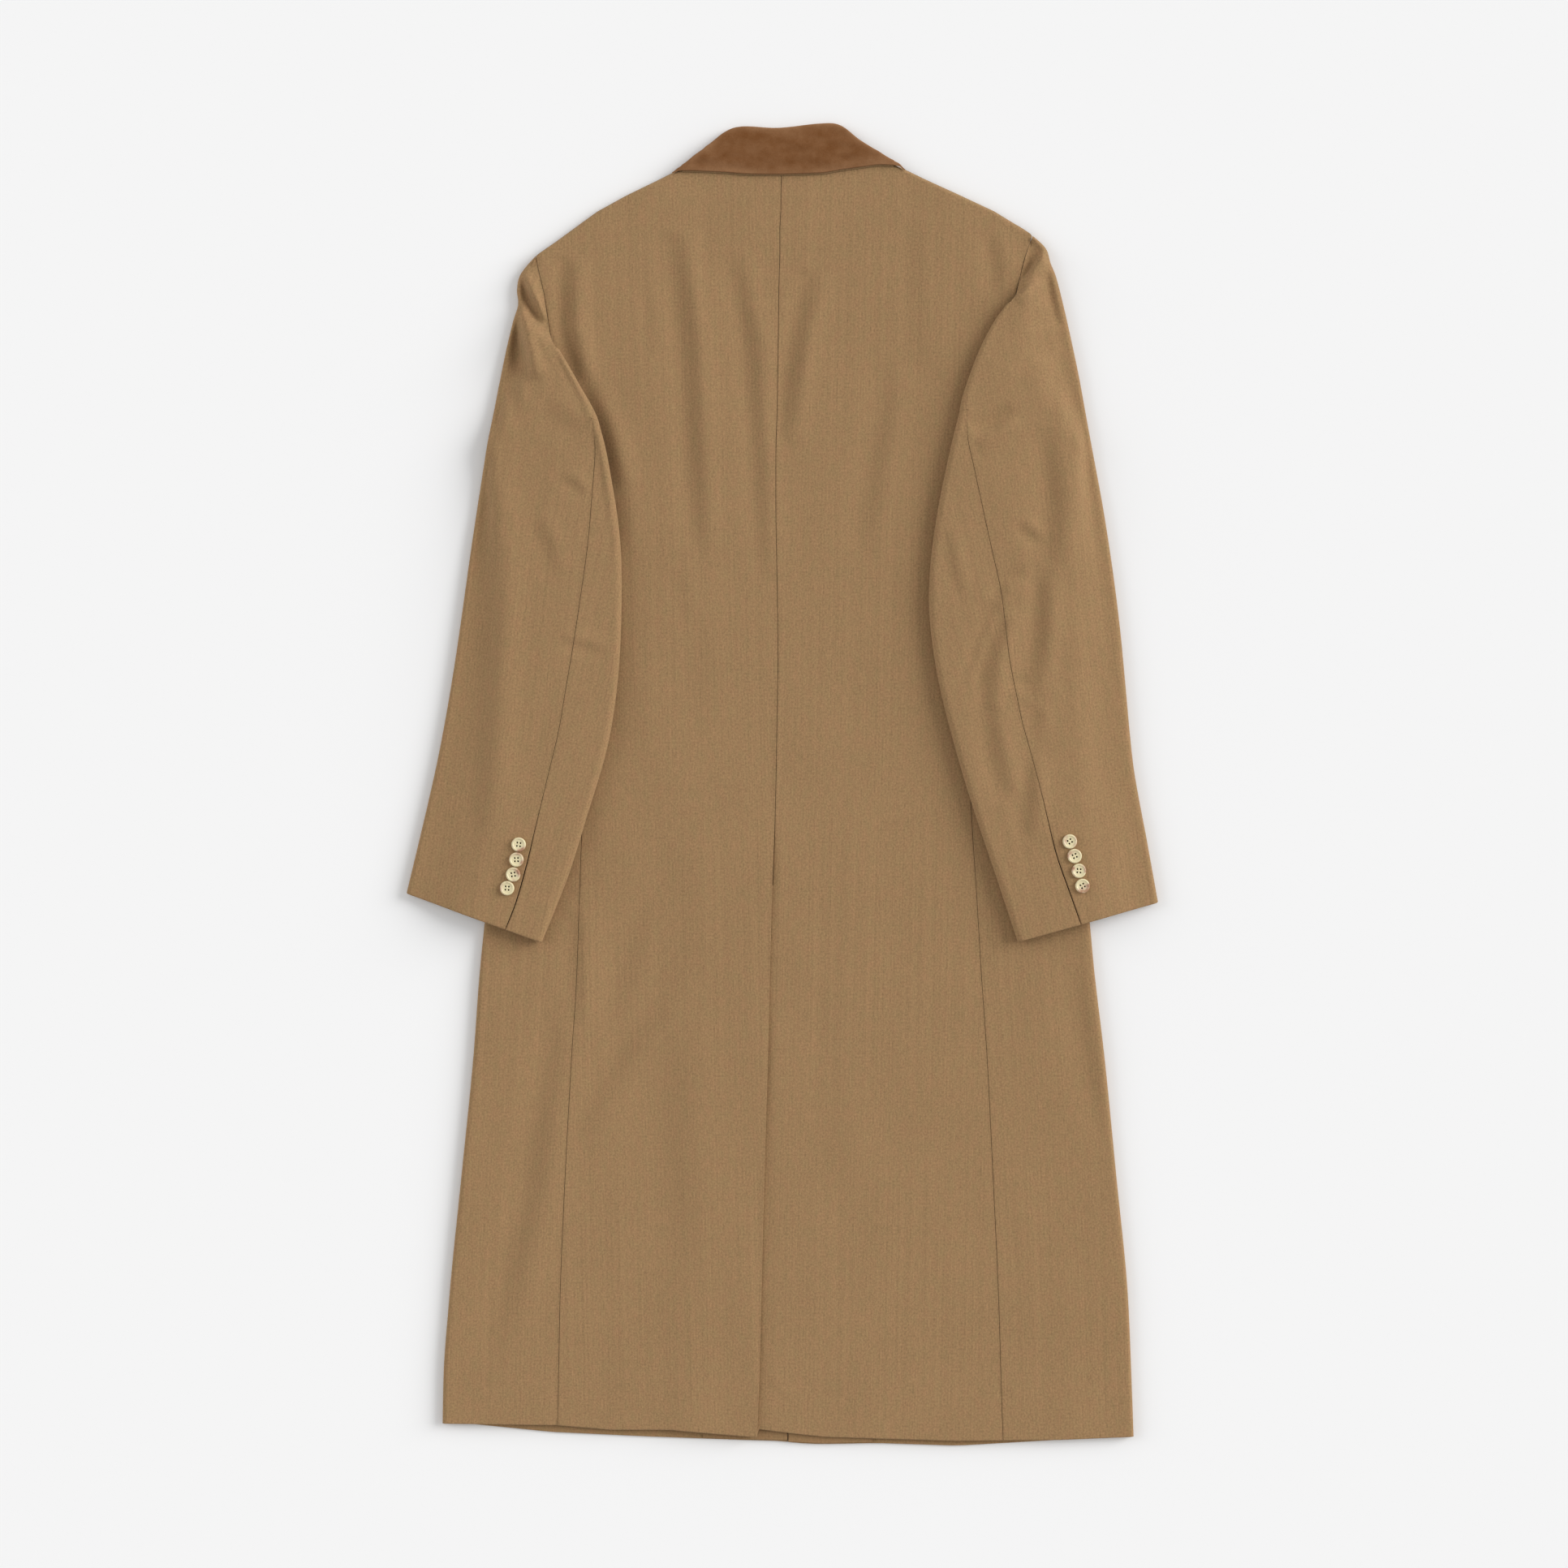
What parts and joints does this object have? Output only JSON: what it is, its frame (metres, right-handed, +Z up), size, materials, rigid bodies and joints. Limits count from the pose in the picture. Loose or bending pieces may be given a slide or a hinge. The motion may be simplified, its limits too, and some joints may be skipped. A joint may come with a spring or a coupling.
{
  "type": "wool overcoat",
  "caption": "Long tan wool overcoat with a brown velvet collar and cuff buttons, laid flat on its front with the sleeves over its back.",
  "frame": {"origin": "middle of the coat's outline, on the surface that it lies on", "axes": "+X to the right seen from above, +Y from hem to collar, +Z up from the surface through the back of the coat"},
  "size_m": [0.741, 1.303, 0.0256],
  "materials": {
    "wool": "matt twill wool with a soft nap",
    "wool_inside": "matt wool facing and felt",
    "velvet": "brown cotton velvet",
    "horn": "polished pale horn with brown mottling"
  },
  "bodies": {
    "root": {"front_left": "wool", "front_right": "wool", "facing_left": "wool_inside", "facing_right": "wool_inside", "back_left": "wool", "back_right": "wool", "collar": "velvet", "undercollar": "wool_inside", "collar_end_left": "velvet", "collar_end_right": "velvet", "sleeve_left_top": "wool", "sleeve_left_under": "wool", "sleeve_right_top": "wool", "sleeve_right_under": "wool", "button_left_1": "horn", "button_left_2": "horn", "button_left_3": "horn", "button_left_4": "horn", "button_right_1": "horn", "button_right_2": "horn", "button_right_3": "horn", "button_right_4": "horn"}
  },
  "joints": []
}
